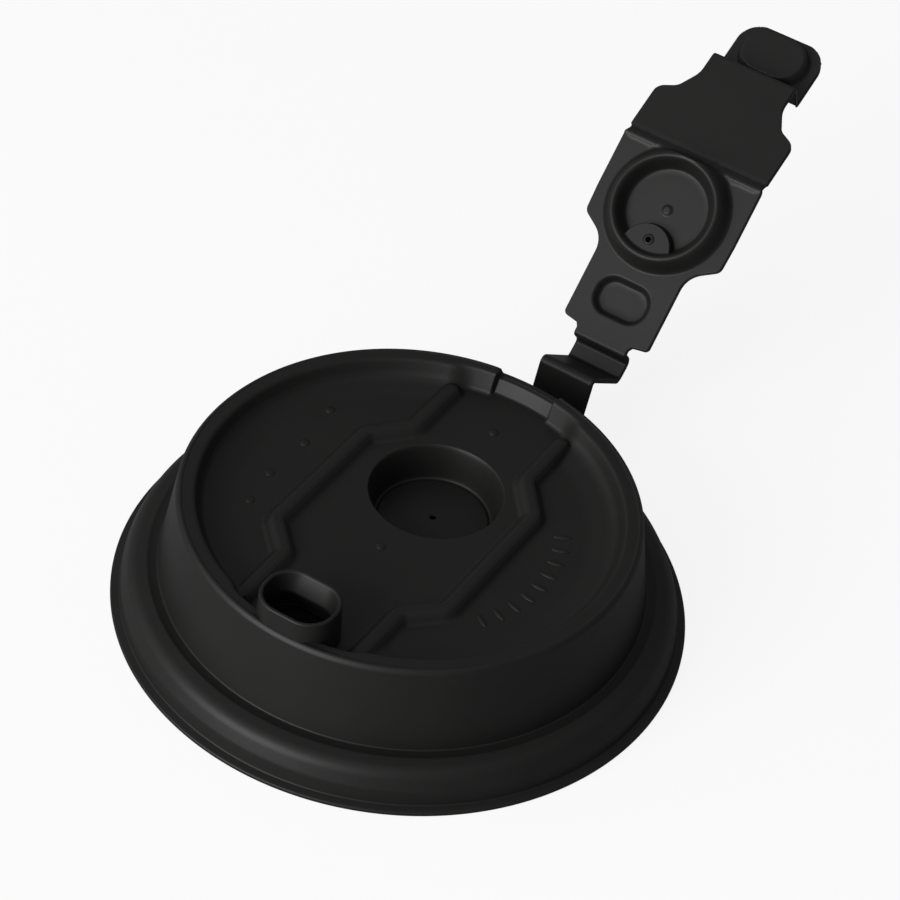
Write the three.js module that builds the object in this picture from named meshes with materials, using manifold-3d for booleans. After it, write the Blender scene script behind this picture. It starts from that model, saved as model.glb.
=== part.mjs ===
// Takeaway cup lid with a drinking spout and a fold-over strap, moulded in one piece.
// Millimetres, Z up. The lid's axis stands upright and the strap runs back along +Y.
import * as THREE from 'three'
import { mergeVertices } from 'three/addons/utils/BufferGeometryUtils.js'
import Module from 'manifold-3d'

// sheet and turned body of the lid
const wall = 0.6
const flangeRadius = 46.5
const flangeThickness = 0.75
const skirtBottomRadius = 45.1
const skirtTopRadius = 43.9
const ledgeRadius = 42.6
const ledgeHeight = 6.9
const collarFootRadius = 39.1
const collarFootHeight = 7.5
const rimRadius = 36.75
const rimHeight = 21.5
const rimInnerRadius = 33.7
const deckHeight = 17.9
const deckFilletStart = 27.6

// round well that the strap's plug goes into
const wellCentreY = 7.9
const wellRadius = 10.8
const wellFloorRadius = 9.9
const wellFloorHeight = 11.8
const ventRadius = 0.6

// two raised ribs along the deck
const ribWideX = 16
const ribNarrowX = 10.6
const ribWideFront = -14
const ribNarrowFront = -19
const ribWideBack = 11
const ribNarrowBack = 17.6
const ribEnd = 32.9
const ribHeight = 1.5
const ribCrestHalf = 0.55
const ribSlope = 1.4

// drinking spout
const spoutCentreY = -31.3
const spoutHalfLength = 6.37
const spoutHalfWidth = 5.02
const spoutCorner = 4.55
const spoutTop = 25.1
const spoutDraft = 0.5
const spoutLip = 0.6
const spoutStepDepth = 4.5
const spoutStepWidth = 0.5

// notch in the rim for the strap
const notchHalfWidth = 5.65
const notchFloor = 20.2

// low marks on the deck
const markHeight = 0.3
const tickRadius = 24.4
const tickLength = 3
const tickWidth = 0.7
const pipRadius = 0.8

// strap, in its open position behind the lid
const neckHalfWidth = 5.1
const panelHalfWidth = 13.55
const waistHalfWidth = 8.4
const tailHalfWidth = 8.2
const panelSlope = 43.28
const panelY = 61.5
const panelZ = 13.475
const panelLength = 34.8
const tipSlope = 22.85
const tipY = 88.1
const tipZ = 37.587
const tipLength = 19.9
const capDrop = 5.3
const capEnd = 31.75
const capCorner = 4.8

// plug, step and dimple on the strap's panel
const plugCentre = 24.9
const plugFootRadius = 11.3
const plugCrestOuter = 9.6
const plugCrestInner = 8.6
const plugFloorRadius = 7.3
const plugHeight = 3
const stepCentre = 17.2
const stepRadius = 4.8
const stepHeight = 1.9
const pinCentre = 18.8
const pinRadius = 0.5
const dimpleCentre = 7.6
const dimpleHalfLength = 5.1
const dimpleHalfWidth = 3.5
const dimpleCorner = 3.2
const dimpleDepth = 1.3

// stopper under the cap
const stopperCentre = 25.9
const stopperHalfLength = 5.4
const stopperHalfWidth = 3.9
const stopperHeight = 2

const wasm = await Module()
wasm.setup()

const radians = THREE.MathUtils.degToRad

// closed solid from a three.js geometry, with its faces turned outward
function solid(geometry) {
  const bare = geometry.index ? geometry.toNonIndexed() : geometry.clone()
  bare.deleteAttribute('normal')
  bare.deleteAttribute('uv')
  const joined = mergeVertices(bare, 1e-4)
  const at = joined.attributes.position
  const index = joined.index.array
  const a = new THREE.Vector3()
  const b = new THREE.Vector3()
  const c = new THREE.Vector3()
  const faces = []
  let volume = 0
  for (let i = 0; i < index.length; i += 3) {
    const [u, v, w] = [index[i], index[i + 1], index[i + 2]]
    if (u === v || v === w || w === u) continue
    faces.push([u, v, w])
    a.fromBufferAttribute(at, u)
    b.fromBufferAttribute(at, v)
    c.fromBufferAttribute(at, w)
    volume += a.dot(b.cross(c))
  }
  const turned = volume < 0 ? faces.map(([u, v, w]) => [u, w, v]) : faces
  const vertProperties = Float32Array.from(at.array)
  const triVerts = Uint32Array.from(turned.flat())
  return new wasm.Manifold(new wasm.Mesh({ numProp: 3, vertProperties, triVerts }))
}

// solid of revolution about Z, from (radius, height) points
function turned(points, segments) {
  const geometry = new THREE.LatheGeometry(points.map(([r, z]) => new THREE.Vector2(r, z)), segments)
  return solid(geometry.rotateX(Math.PI / 2))
}

// prism on an outline, upwards from z = 0
function prism(outline, height) {
  return solid(new THREE.ExtrudeGeometry(outline, { depth: height, bevelEnabled: false, curveSegments: 5 }))
}

// raised form on an outline of its crest, spreading downwards to z = 0
function raised(outline, height, spread, rounds = 1) {
  const options = { depth: 0.02, bevelThickness: height, bevelSize: spread, bevelSegments: rounds, curveSegments: 5 }
  const whole = solid(new THREE.ExtrudeGeometry(outline, options))
  return whole.translate([0, 0, -0.01]).trimByPlane([0, 0, 1], 0)
}

// rectangle with rounded corners, centred on x = 0 and the given y
function roundedBox(halfLength, halfWidth, corner, y) {
  const shape = new THREE.Shape()
  const turn = Math.PI / 2
  shape.absarc(halfLength - corner, y + halfWidth - corner, corner, 0, turn)
  shape.absarc(corner - halfLength, y + halfWidth - corner, corner, turn, 2 * turn)
  shape.absarc(corner - halfLength, y - halfWidth + corner, corner, 2 * turn, 3 * turn)
  shape.absarc(halfLength - corner, y - halfWidth + corner, corner, 3 * turn, 4 * turn)
  shape.closePath()
  return shape
}

// open line of [x, y] points moved sideways, to the left of its travel
function beside(points, distance) {
  return points.map(([x, y], i) => {
    const before = points[Math.max(i - 1, 0)]
    const after = points[Math.min(i + 1, points.length - 1)]
    const arriving = new THREE.Vector2(x - before[0], y - before[1]).normalize()
    const leaving = new THREE.Vector2(after[0] - x, after[1] - y).normalize()
    const along = arriving.add(leaving).normalize()
    const edge = i === 0 ? leaving : new THREE.Vector2(x - before[0], y - before[1]).normalize()
    const reach = distance / Math.max(along.dot(edge), 0.5)
    return [x - along.y * reach, y + along.x * reach]
  })
}

function sampled(path, divisions) {
  return path.getPoints(divisions).map((point) => [point.x, point.y])
}

function outlineOf(points) {
  return new THREE.Shape(points.map(([x, y]) => new THREE.Vector2(x, y)))
}

// top surface of the turned body, from the axis out and down to the skirt's bottom
function bodyProfile(divisions) {
  const path = new THREE.Path()
  path.moveTo(0, deckHeight)
  path.lineTo(deckFilletStart, deckHeight)
  path.quadraticCurveTo(rimInnerRadius - 1, deckHeight, rimInnerRadius, rimHeight - 0.6)
  path.quadraticCurveTo(rimInnerRadius + 0.2, rimHeight, rimInnerRadius + 1.1, rimHeight)
  path.lineTo(rimRadius - 0.8, rimHeight)
  path.quadraticCurveTo(rimRadius, rimHeight, rimRadius + 0.1, rimHeight - 0.8)
  path.lineTo(collarFootRadius, collarFootHeight)
  path.quadraticCurveTo(collarFootRadius + 0.1, ledgeHeight - 0.3, collarFootRadius + 0.9, ledgeHeight - 0.3)
  path.lineTo(collarFootRadius + 1.8, ledgeHeight)
  path.lineTo(ledgeRadius, ledgeHeight)
  path.quadraticCurveTo(skirtTopRadius - 0.2, ledgeHeight, skirtTopRadius, ledgeHeight - 1.4)
  path.lineTo(skirtBottomRadius - 0.5, 3.6)
  path.lineTo(skirtBottomRadius - 0.6, 3.1)
  path.lineTo(skirtBottomRadius, 2.3)
  path.lineTo(skirtBottomRadius, flangeThickness + 0.5)
  return sampled(path, divisions)
}

// well for the plug, grown outward by the given amount
function well(grow) {
  const floor = wellFloorHeight - grow
  const points = [
    [0, floor],
    [wellFloorRadius + grow, floor],
    [wellFloorRadius + 0.4 + grow, floor + 0.5],
    [wellRadius - 0.2 + grow, deckHeight - 0.7],
    [wellRadius + 0.5 + grow, deckHeight + 0.01],
    [wellRadius + 0.5 + grow, rimHeight],
    [0, rimHeight],
  ]
  return turned(points, 40).translate([0, wellCentreY, 0])
}

// one rib of the deck, thinned by the given amount
function rib(side, thin, rounds) {
  const path = new THREE.Path()
  path.moveTo(ribNarrowX, -ribEnd)
  path.lineTo(ribNarrowX, ribNarrowFront - 2)
  path.quadraticCurveTo(ribNarrowX, ribNarrowFront, ribNarrowX + 1.5, ribNarrowFront + 1.4)
  path.lineTo(ribWideX - 1.5, ribWideFront - 1.4)
  path.quadraticCurveTo(ribWideX, ribWideFront, ribWideX, ribWideFront + 2)
  path.lineTo(ribWideX, ribWideBack - 2)
  path.quadraticCurveTo(ribWideX, ribWideBack, ribWideX - 1.4, ribWideBack + 1.8)
  path.lineTo(ribNarrowX + 1.4, ribNarrowBack - 1.8)
  path.quadraticCurveTo(ribNarrowX, ribNarrowBack, ribNarrowX, ribNarrowBack + 2)
  path.lineTo(ribNarrowX, ribEnd)
  const line = sampled(path, rounds).map(([x, y]) => [side * x, y])
  const outline = outlineOf([...beside(line, ribCrestHalf), ...beside(line, -ribCrestHalf).reverse()])
  const sunk = 0.2
  const form = raised(outline, ribHeight + sunk, ribSlope - thin, rounds)
  return form.translate([0, 0, deckHeight - thin - sunk])
}

function spoutTube() {
  const lip = roundedBox(spoutHalfLength, spoutHalfWidth, spoutCorner, spoutCentreY)
  const height = spoutTop - deckHeight + 0.3
  return raised(lip, height, spoutDraft).translate([0, 0, spoutTop - height])
}

// walls that the spout's bore keeps down to the underside of the deck
function spoutCollar() {
  const around = spoutStepWidth
  const outline = roundedBox(spoutHalfLength - around, spoutHalfWidth - around, spoutCorner - around, spoutCentreY)
  return prism(outline, 8).translate([0, 0, deckHeight - wall])
}

function spoutBore() {
  const reach = 12
  const inset = spoutLip
  const upper = roundedBox(spoutHalfLength - inset, spoutHalfWidth - inset, spoutCorner - inset, spoutCentreY)
  const deep = inset + spoutStepWidth
  const lower = roundedBox(spoutHalfLength - deep, spoutHalfWidth - deep, spoutCorner - deep, spoutCentreY)
  const mouth = prism(upper, reach).translate([0, 0, spoutTop - spoutStepDepth])
  return mouth.add(prism(lower, reach).translate([0, 0, spoutTop - reach]))
}

function notch(grow) {
  const box = new THREE.BoxGeometry(2 * (notchHalfWidth + grow), 12, 8)
  return solid(box.translate(0, rimRadius - 1, notchFloor + 4 - grow))
}

// plain raised ticks on the right of the deck and round pips on the left
function marks() {
  const pieces = []
  const block = new THREE.BoxGeometry(tickLength, tickWidth, 2 * markHeight)
  for (let i = 0; i < 9; i += 1) {
    const angle = -30 + i * 7.2
    pieces.push(solid(block.clone().translate(tickRadius, 0, deckHeight)).rotate([0, 0, angle]))
  }
  const pip = new THREE.CylinderGeometry(pipRadius, pipRadius, 2 * markHeight, 12).rotateX(Math.PI / 2)
  const places = [[-22.1, -12.3], [-23.2, -5.2], [-22.8, 4.1], [-24, 13.2], [0, -8.2], [0, 25.4]]
  for (const [x, y] of places) pieces.push(solid(pip.clone().translate(x, y, deckHeight)))
  return pieces
}

function lidBody() {
  const top = bodyProfile(3)
  const under = beside(bodyProfile(2), -wall)
  under[0] = [0, deckHeight - wall]
  const innerRadius = skirtBottomRadius - wall
  const outside = turned([
    ...top,
    [skirtBottomRadius + 0.5, flangeThickness],
    [flangeRadius, flangeThickness],
    [flangeRadius, 0],
    [0, 0],
  ], 64)
  const inside = turned([...under, [innerRadius, -1], [0, -1]], 48)
  const upper = wasm.Manifold.union([outside, rib(1, 0, 3), rib(-1, 0, 3), spoutTube(), ...marks()])
  const hollow = wasm.Manifold.union([inside, rib(1, wall, 2), rib(-1, wall, 2)])
  const shell = upper.subtract(well(0)).subtract(notch(0))
  const cavity = hollow.subtract(well(wall)).subtract(notch(wall)).subtract(spoutCollar())
  const vent = solid(new THREE.CylinderGeometry(ventRadius, ventRadius, 8, 16).rotateX(Math.PI / 2))
  return shell.subtract(cavity).subtract(spoutBore()).subtract(vent.translate([0, wellCentreY, wellFloorHeight]))
}

// strip of sheet bent along a line of (y, z) points, centred on x = 0
function bentSheet(line, halfWidth) {
  const outline = outlineOf([...beside(line, wall / 2), ...beside(line, -wall / 2).reverse()])
  const geometry = new THREE.ExtrudeGeometry(outline, { depth: 2 * halfWidth, bevelEnabled: false })
  geometry.translate(0, 0, -halfWidth)
  geometry.applyMatrix4(new THREE.Matrix4().set(0, 0, 1, 0, 1, 0, 0, 0, 0, 1, 0, 0, 0, 0, 0, 1))
  return solid(geometry)
}

// point of the panel's or tip's side view, at a length along it and a height off it
function onPanel(along, off = 0) {
  const turn = radians(panelSlope)
  return [panelY + along * Math.cos(turn) - off * Math.sin(turn), panelZ + along * Math.sin(turn) + off * Math.cos(turn)]
}

function onTip(along, off = 0) {
  const turn = radians(tipSlope)
  return [tipY + along * Math.cos(turn) - off * Math.sin(turn), tipZ + along * Math.sin(turn) + off * Math.cos(turn)]
}

// narrow part of the strap, from the flange up, over and out to the panel
function strapNeck() {
  const path = new THREE.Path()
  path.moveTo(45.3, 0.4)
  path.lineTo(49.3, 13.7)
  path.quadraticCurveTo(49.8, 15.2, 51.1, 14.3)
  path.lineTo(59.2, 9)
  path.quadraticCurveTo(60.2, 8.3, 61.1, 9)
  path.lineTo(62.1, 9.9)
  path.quadraticCurveTo(63, 10.8, 62, 11.5)
  path.quadraticCurveTo(60.7, 12.5, panelY + 0.2, panelZ + 0.2)
  path.lineTo(...onPanel(1.2))
  return bentSheet(sampled(path, 4), neckHalfWidth)
}

// side view of the panel, the fold, the tip and the dropped cap
function strapLine() {
  const path = new THREE.Path()
  path.moveTo(...onPanel(-0.3))
  path.lineTo(...onPanel(panelLength))
  path.quadraticCurveTo(...onPanel(panelLength + 0.7), ...onPanel(panelLength + 1.1, -0.6))
  path.quadraticCurveTo(...onTip(0.1, -0.9), ...onTip(0.6, -0.3))
  path.quadraticCurveTo(...onTip(0.9), ...onTip(1.5))
  path.lineTo(...onTip(tipLength - 0.9))
  path.quadraticCurveTo(...onTip(tipLength - 0.2), ...onTip(tipLength - 0.2, -0.8))
  path.lineTo(...onTip(tipLength - 0.2, 0.6 - capDrop))
  path.quadraticCurveTo(...onTip(tipLength - 0.2, -capDrop), ...onTip(tipLength + 0.5, -capDrop))
  path.lineTo(...onTip(capEnd, -capDrop))
  return sampled(path, 3)
}

// outline of the strap's wide part seen from above
function strapOutline() {
  const along = (distance) => onPanel(distance)[0]
  const out = (distance) => onTip(distance)[0]
  const cap = (distance) => onTip(distance, -capDrop)[0]
  const path = new THREE.Path()
  path.moveTo(neckHalfWidth, along(-0.6))
  path.lineTo(neckHalfWidth, along(0.3))
  path.quadraticCurveTo(neckHalfWidth + 0.2, along(1), neckHalfWidth + 1, along(1.1))
  path.lineTo(waistHalfWidth - 0.9, along(1.3))
  path.quadraticCurveTo(waistHalfWidth, along(1.4), waistHalfWidth, along(2.4))
  path.lineTo(waistHalfWidth, along(13.4))
  path.bezierCurveTo(waistHalfWidth, along(17.6), 10.4, along(18.3), panelHalfWidth - 0.9, along(18.8))
  path.quadraticCurveTo(panelHalfWidth, along(19), panelHalfWidth, along(20.2))
  path.lineTo(panelHalfWidth, out(7.8))
  path.quadraticCurveTo(panelHalfWidth, out(9.5), panelHalfWidth - 1.4, out(9.9))
  path.bezierCurveTo(9.8, out(10.7), tailHalfWidth + 0.3, out(12.6), tailHalfWidth, out(15.5))
  path.lineTo(tailHalfWidth, cap(capEnd - capCorner))
  path.absarc(tailHalfWidth - capCorner, cap(capEnd - capCorner), capCorner, 0, Math.PI / 2, false)
  const right = sampled(path, 4)
  const left = right.map(([x, y]) => [-x, y]).reverse()
  return outlineOf([...right, ...left])
}

// hollow round plug, as a ridge around the panel's flat floor
function plugRidge() {
  const ridge = turned([
    [plugFloorRadius, 0],
    [plugCrestInner, plugHeight - 0.2],
    [plugCrestInner + 0.5, plugHeight],
    [plugCrestOuter, plugHeight - 0.3],
    [plugFootRadius, 0],
    [plugFloorRadius, 0],
  ], 48)
  const groove = turned([
    [plugFloorRadius + 0.5, -wall],
    [(plugCrestInner + plugCrestOuter) / 2, plugHeight - 0.9],
    [plugFootRadius - 0.5, -wall],
    [plugFloorRadius + 0.5, -wall],
  ], 48)
  return [ridge, groove]
}

function strap() {
  const across = prism(strapOutline(), 80)
  const sheet = bentSheet(strapLine(), panelHalfWidth + 1).intersect(across)
  const toPanel = (form) => form.rotate([panelSlope, 0, 0]).translate([0, panelY, panelZ])
  const toTip = (form) => form.rotate([tipSlope, 0, 0]).translate([0, tipY, tipZ])

  const [ridge, groove] = plugRidge()
  const floorDisc = solid(new THREE.CylinderGeometry(plugCrestInner, plugCrestInner, 2 * stepHeight, 32).rotateX(Math.PI / 2))
  const step = turned([[0, 0], [stepRadius, 0], [stepRadius - 0.4, stepHeight], [0, stepHeight]], 32)
  const pin = solid(new THREE.CylinderGeometry(pinRadius, pinRadius, 8, 16).rotateX(Math.PI / 2))
  const mark = turned([[0, 0], [1, 0], [0.6, 0.4], [0, 0.4]], 16)
  const dimple = roundedBox(dimpleHalfLength - 0.5, dimpleHalfWidth - 0.5, dimpleCorner - 0.5, dimpleCentre)
  const pad = roundedBox(dimpleHalfLength, dimpleHalfWidth, dimpleCorner, dimpleCentre)
  const pocket = raised(dimple, dimpleDepth + 0.1, 0.5).rotate([0, 180, 0])
  const shoe = raised(pad, dimpleDepth + wall / 2, 0.5).rotate([0, 180, 0])

  const added = wasm.Manifold.union([
    ridge.translate([0, plugCentre, 0]),
    step.translate([0, stepCentre, 0]).intersect(floorDisc.translate([0, plugCentre, 0])),
    mark.translate([0, plugCentre, 0]),
    shoe,
  ])
  const taken = wasm.Manifold.union([
    groove.translate([0, plugCentre, 0]),
    pin.translate([0, pinCentre, 0]),
    pocket.translate([0, 0, wall / 2 + 0.1]),
  ])

  const crown = roundedBox(stopperHalfLength, stopperHalfWidth, stopperHalfWidth - 0.1, stopperCentre)
  const inner = roundedBox(stopperHalfLength - 0.2, stopperHalfWidth - 0.2, stopperHalfWidth - 0.3, stopperCentre)
  const stopper = raised(crown, stopperHeight, 0.6).translate([0, 0, -capDrop])
  const stopperHollow = raised(inner, stopperHeight, 0.5).translate([0, 0, -capDrop - wall])

  const panel = sheet.add(toPanel(added)).subtract(toPanel(taken))
  return panel.add(toTip(stopper)).subtract(toTip(stopperHollow)).add(strapNeck())
}

const whole = lidBody().add(strap())
const mesh = whole.getMesh()
const geometry = new THREE.BufferGeometry()
geometry.setAttribute('position', new THREE.BufferAttribute(Float32Array.from(mesh.vertProperties), 3))
geometry.setIndex(new THREE.BufferAttribute(Uint32Array.from(mesh.triVerts), 1))
geometry.computeVertexNormals()

const plastic = new THREE.MeshStandardMaterial({ color: 0x1c1c1e, roughness: 0.42, metalness: 0 })
const lid = new THREE.Mesh(geometry, plastic)
lid.name = 'lid'

// the origin lies under the middle of the whole piece, on the level it stands on
geometry.computeBoundingBox()
const box = geometry.boundingBox
lid.position.set(-(box.min.x + box.max.x) / 2, -(box.min.y + box.max.y) / 2, -box.min.z)

const group = new THREE.Group()
group.name = 'cup_lid'
group.add(lid)

export default group
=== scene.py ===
import math

import bmesh
import bpy
import numpy as np
from mathutils import Matrix, Vector
from mathutils.geometry import delaunay_2d_cdt


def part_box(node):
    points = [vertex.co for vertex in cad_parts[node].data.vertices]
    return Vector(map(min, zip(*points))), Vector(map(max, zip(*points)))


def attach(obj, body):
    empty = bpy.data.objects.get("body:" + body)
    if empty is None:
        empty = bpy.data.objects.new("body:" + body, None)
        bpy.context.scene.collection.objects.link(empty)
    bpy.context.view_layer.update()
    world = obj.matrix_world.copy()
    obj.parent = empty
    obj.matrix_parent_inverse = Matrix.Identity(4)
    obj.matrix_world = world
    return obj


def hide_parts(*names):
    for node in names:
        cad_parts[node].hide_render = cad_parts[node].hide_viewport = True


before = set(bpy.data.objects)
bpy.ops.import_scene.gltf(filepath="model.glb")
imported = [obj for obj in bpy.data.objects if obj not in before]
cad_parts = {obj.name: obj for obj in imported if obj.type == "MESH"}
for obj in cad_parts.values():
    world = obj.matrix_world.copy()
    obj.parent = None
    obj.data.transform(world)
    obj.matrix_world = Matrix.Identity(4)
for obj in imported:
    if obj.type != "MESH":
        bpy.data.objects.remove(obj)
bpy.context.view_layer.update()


# Skirt of the lid: the tapered collar, the ledge, the round shoulder and the flange at the foot.
# It is formed from a thin black plastic sheet over a turned mould, in one piece with all the rest.
flange_radius = 46.5
lid_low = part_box("lid")[0]
axis_y = lid_low[1] * 1000 + flange_radius
rim_seam = 35.95
rim_height = 21.5
wall = 0.6
skirt_turns = 480
notch_half = 5.65
notch_floor = 20.2


def rounded(corners, steps=5):
    """Points of a line whose corners, given as across, up and radius, are rounded off."""
    points = [corners[0][:2]]
    for before, corner, after in zip(corners, corners[1:], corners[2:]):
        here = np.array(corner[:2], float)
        back = np.array(before[:2], float) - here
        ahead = np.array(after[:2], float) - here
        back_length = np.linalg.norm(back)
        ahead_length = np.linalg.norm(ahead)
        back /= back_length
        ahead /= ahead_length
        half = math.acos(max(-1.0, min(1.0, float(back @ ahead)))) / 2
        if half > math.pi / 2 - 0.01:
            points.append(tuple(here))
            continue
        cut = min(corner[2] / math.tan(half), back_length * 0.48, ahead_length * 0.48)
        radius = cut * math.tan(half)
        middle = here + (back + ahead) / np.linalg.norm(back + ahead) * radius / math.sin(half)
        start = here + back * cut - middle
        end = here + ahead * cut - middle
        sweep = math.pi - 2 * half
        for step in range(steps + 1):
            part = step / steps
            spoke = start * math.sin((1 - part) * sweep) + end * math.sin(part * sweep)
            points.append(tuple(middle + spoke / math.sin(sweep)))
    points.append(corners[-1][:2])
    return points


class Wire:
    """A socket of a material, joined to further nodes by Python's own operators."""

    def __init__(self, tree, socket=None):
        self.tree = tree
        self.socket = socket

    def node(self, kind, settings=None, inputs=None, output=0):
        made = self.tree.nodes.new(kind)
        for name, value in (settings or {}).items():
            setattr(made, name, value)
        for name, value in (inputs or {}).items():
            if isinstance(value, Wire):
                self.tree.links.new(value.socket, made.inputs[name])
            else:
                made.inputs[name].default_value = value
        return Wire(self.tree, made.outputs[output])

    def join(self, operation, left, right):
        wires = [side for side in (left, right) if isinstance(side, Wire)]
        if any(wire.socket.type in ("VECTOR", "RGBA") for wire in wires):
            parts = []
            for side in (left, right):
                whole = isinstance(side, Wire) or hasattr(side, "__len__")
                parts.append(side if whole else (side, side, side))
            return self.node("ShaderNodeVectorMath", {"operation": operation}, {0: parts[0], 1: parts[1]})
        return self.node("ShaderNodeMath", {"operation": operation}, {0: left, 1: right})

    def __add__(self, other):
        return self.join("ADD", self, other)

    def __radd__(self, other):
        return self.join("ADD", other, self)

    def __sub__(self, other):
        return self.join("SUBTRACT", self, other)

    def __rsub__(self, other):
        return self.join("SUBTRACT", other, self)

    def __mul__(self, other):
        return self.join("MULTIPLY", self, other)

    def __rmul__(self, other):
        return self.join("MULTIPLY", other, self)

    def tint(self, dark, light):
        colours = {"Factor": self, "A": (*dark, 1), "B": (*light, 1)}
        return self.node("ShaderNodeMix", {"data_type": "RGBA"}, colours, output=2)


def satin_plastic(name, shade, gloss):
    """Black moulded plastic with a fine satin grain, faint flow marks and handling haze."""
    material = bpy.data.materials.new(name)
    material.use_nodes = True
    tree = material.node_tree
    shader = tree.nodes["Principled BSDF"]
    start = Wire(tree)
    place = start.node("ShaderNodeTexCoord", output=3)
    grain = start.node("ShaderNodeTexNoise", None, {"Vector": place, "Scale": 2600.0, "Detail": 3.0})
    cloud_inputs = {"Vector": place, "Scale": 55.0, "Detail": 4.0, "Roughness": 0.6}
    cloud = start.node("ShaderNodeTexNoise", None, cloud_inputs)
    stretched = place * (1.0, 0.35, 1.0)
    flow = start.node("ShaderNodeTexNoise", None, {"Vector": stretched, "Scale": 260.0, "Detail": 2.0})
    rough = gloss + (cloud - 0.5) * 0.10 + (grain - 0.5) * 0.08
    light = [channel * 1.35 for channel in shade]
    colour = (cloud * 0.7 + grain * 0.3).tint([channel * 0.7 for channel in shade], light)
    height = grain * 0.6 + flow * 0.4
    bump = start.node("ShaderNodeBump", None, {"Strength": 0.10, "Distance": 0.00004, "Height": height})
    tree.links.new(colour.socket, shader.inputs["Base Color"])
    tree.links.new(rough.socket, shader.inputs["Roughness"])
    tree.links.new(bump.socket, shader.inputs["Normal"])
    shader.inputs["IOR"].default_value = 1.45
    shader.inputs["Specular IOR Level"].default_value = 0.3
    return material


lid_plastic = satin_plastic("lid_satin_black", (0.0102, 0.0099, 0.0095), 0.45)


def node_maker(tree):
    """Function that adds a node to a tree, with its settings and the values or links of its sockets."""
    def node(kind, settings=None, inputs=None):
        made = tree.nodes.new(kind)
        for name, value in (settings or {}).items():
            setattr(made, name, value)
        for name, value in (inputs or {}).items():
            if isinstance(value, bpy.types.NodeSocket):
                tree.links.new(value, made.inputs[name])
            else:
                made.inputs[name].default_value = value
        return made

    return node


def turning_tree():
    """Nodes that turn a profile's points round the upright axis into a closed wall."""
    tree = bpy.data.node_groups.new("turned_wall", "GeometryNodeTree")
    for name, kind, way in (("Profile", "Geometry", "INPUT"), ("Corners", "Int", "INPUT"),
                            ("Segments", "Int", "INPUT"), ("Material", "Material", "INPUT"),
                            ("Wall", "Geometry", "OUTPUT")):
        tree.interface.new_socket(name, in_out=way, socket_type="NodeSocket" + kind)
    given = tree.nodes.new("NodeGroupInput")
    result = tree.nodes.new("NodeGroupOutput")
    node = node_maker(tree)
    around = node("ShaderNodeMath", {"operation": "ADD"}, {0: given.outputs["Segments"], 1: 1.0})
    lattice = node("GeometryNodeMeshGrid", None,
                   {"Vertices X": around.outputs[0], "Vertices Y": given.outputs["Corners"]})
    index = node("GeometryNodeInputIndex")
    corner = node("ShaderNodeMath", {"operation": "MODULO"},
                  {0: index.outputs[0], 1: given.outputs["Corners"]})
    share = node("ShaderNodeMath", {"operation": "DIVIDE"},
                 {0: index.outputs[0], 1: given.outputs["Corners"]})
    turn = node("ShaderNodeMath", {"operation": "FLOOR"}, {0: share.outputs[0]})
    full = node("ShaderNodeMath", {"operation": "MULTIPLY"}, {0: turn.outputs[0], 1: 2 * math.pi})
    angle = node("ShaderNodeMath", {"operation": "DIVIDE"},
                 {0: full.outputs[0], 1: given.outputs["Segments"]})
    spot = node("GeometryNodeInputPosition")
    taken = node("GeometryNodeSampleIndex", {"data_type": "FLOAT_VECTOR", "domain": "POINT"},
                 {"Geometry": given.outputs["Profile"], "Value": spot.outputs[0], "Index": corner.outputs[0]})
    spun = node("ShaderNodeVectorRotate", {"rotation_type": "Z_AXIS"},
                {"Vector": taken.outputs["Value"], "Angle": angle.outputs[0]})
    shaped = node("GeometryNodeSetPosition", None,
                  {"Geometry": lattice.outputs["Mesh"], "Position": spun.outputs[0]})
    merged = node("GeometryNodeMergeByDistance", None, {"Geometry": shaped.outputs[0], "Distance": 0.000001})
    whole = node("GeometryNodeRealizeInstances", None, {"Geometry": merged.outputs[0]})
    coloured = node("GeometryNodeSetMaterial", None,
                    {"Geometry": whole.outputs[0], "Material": given.outputs["Material"]})
    tree.links.new(coloured.outputs[0], result.inputs["Wall"])
    return tree


def from_nodes(name, carrier, tree, inputs):
    """Plain mesh object from a carrier object and a node tree with the given inputs."""
    holder = bpy.data.objects.new(name + "_carrier", carrier)
    bpy.context.scene.collection.objects.link(holder)
    modifier = holder.modifiers.new("nodes", "NODES")
    modifier.node_group = tree
    for item in tree.interface.items_tree:
        if item.in_out == "INPUT" and item.name in inputs:
            modifier[item.identifier] = inputs[item.name]
    ready = holder.evaluated_get(bpy.context.evaluated_depsgraph_get())
    mesh = bpy.data.meshes.new_from_object(ready)
    mesh.name = name
    bpy.data.objects.remove(holder)
    piece = bpy.data.objects.new(name, mesh)
    bpy.context.scene.collection.objects.link(piece)
    return piece


def face_outward(mesh):
    working = bmesh.new()
    working.from_mesh(mesh)
    bmesh.ops.remove_doubles(working, verts=working.verts, dist=0.0000005)
    bmesh.ops.recalc_face_normals(working, faces=working.faces)
    for face in working.faces:
        face.smooth = True
    working.to_mesh(mesh)
    working.free()


def part_of_lid(piece):
    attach(piece, "root")
    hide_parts("lid")


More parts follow.
